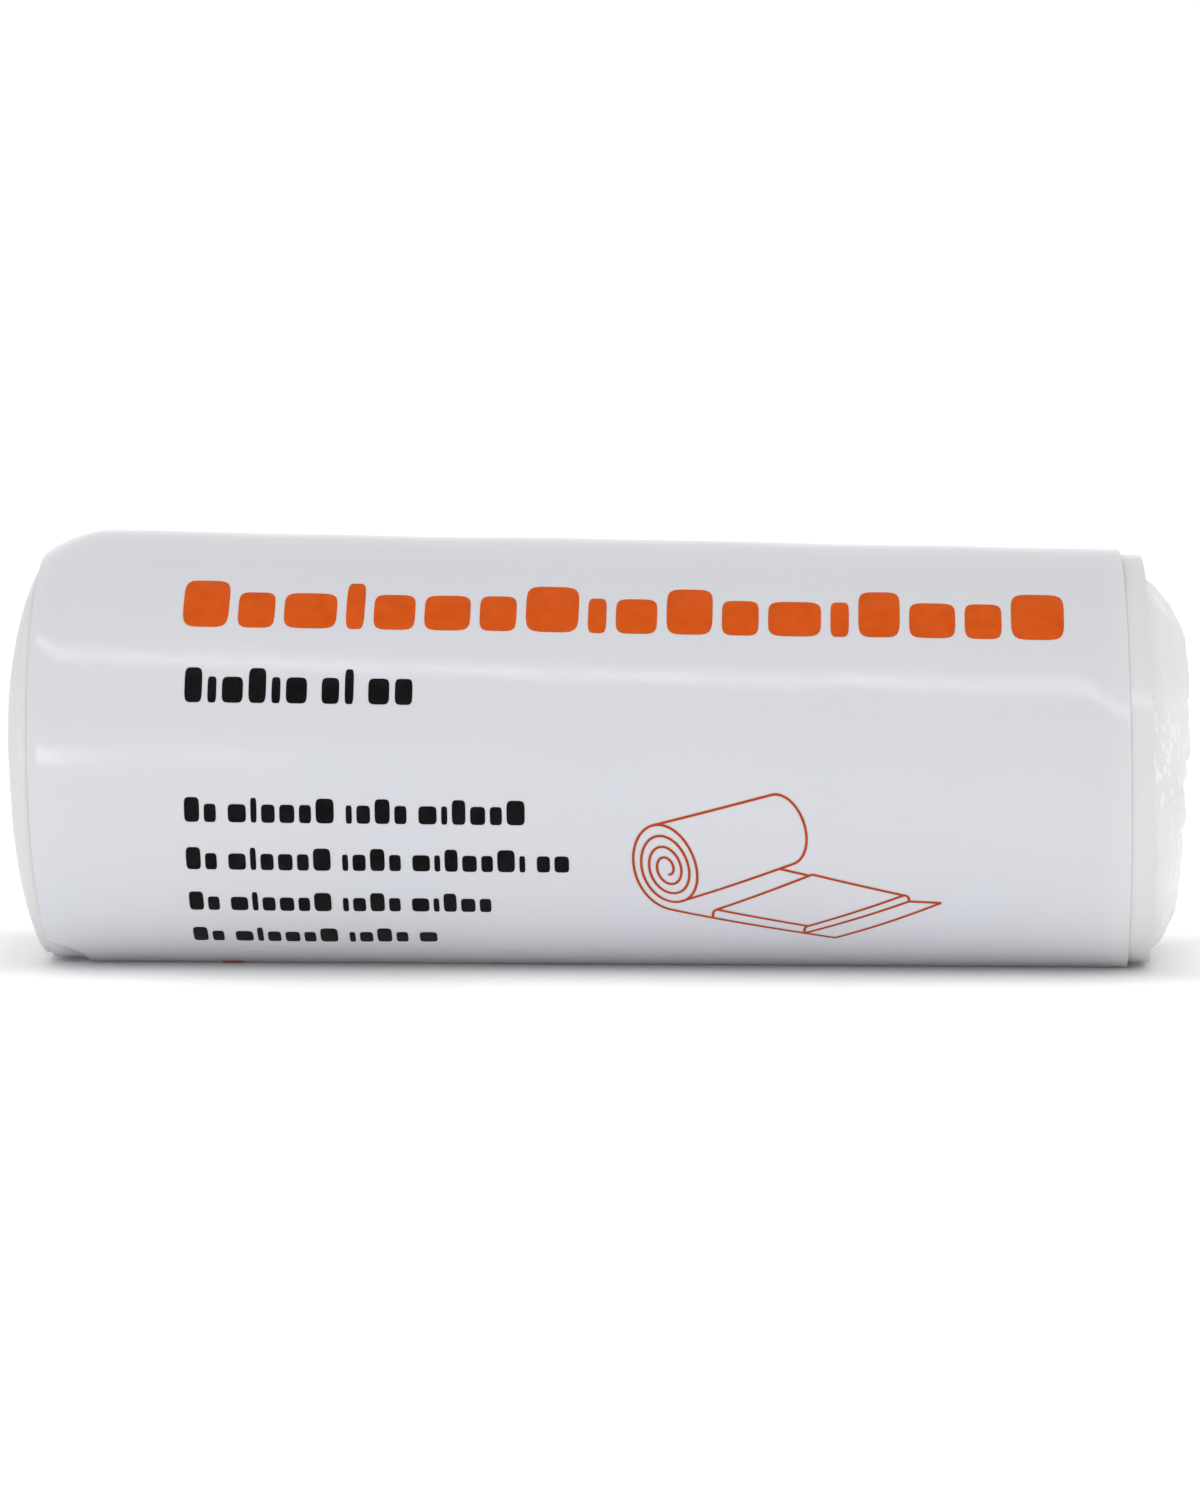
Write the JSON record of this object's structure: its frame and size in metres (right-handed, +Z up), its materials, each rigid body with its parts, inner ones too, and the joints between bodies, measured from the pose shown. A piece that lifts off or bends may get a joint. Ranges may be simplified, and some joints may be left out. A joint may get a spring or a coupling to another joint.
{
  "type": "packed first aid dressing roll",
  "caption": "Absorbent pad on a bandage strip, rolled up and packed in a tucked inner film and a wound printed film.",
  "frame": {"origin": "middle of the flat that the roll rests on, under the middle of the bandage strip's width", "axes": "+X along the roll towards the end with the loose bulge of film, -Y the printed front, +Z up"},
  "size_m": [0.0793, 0.0304, 0.0293],
  "materials": {
    "bandage_cloth": "off-white elastic gauze, matt",
    "pad_cloth": "white absorbent pad, matt",
    "inner_film": "thin translucent milky film, softly crumpled",
    "printed_film": "glossy white film with orange and black print"
  },
  "bodies": {
    "root": {"bandage_strip": "bandage_cloth", "compress_pad": "pad_cloth", "inner_film": "inner_film", "printed_wrapper": "printed_film"}
  },
  "joints": []
}
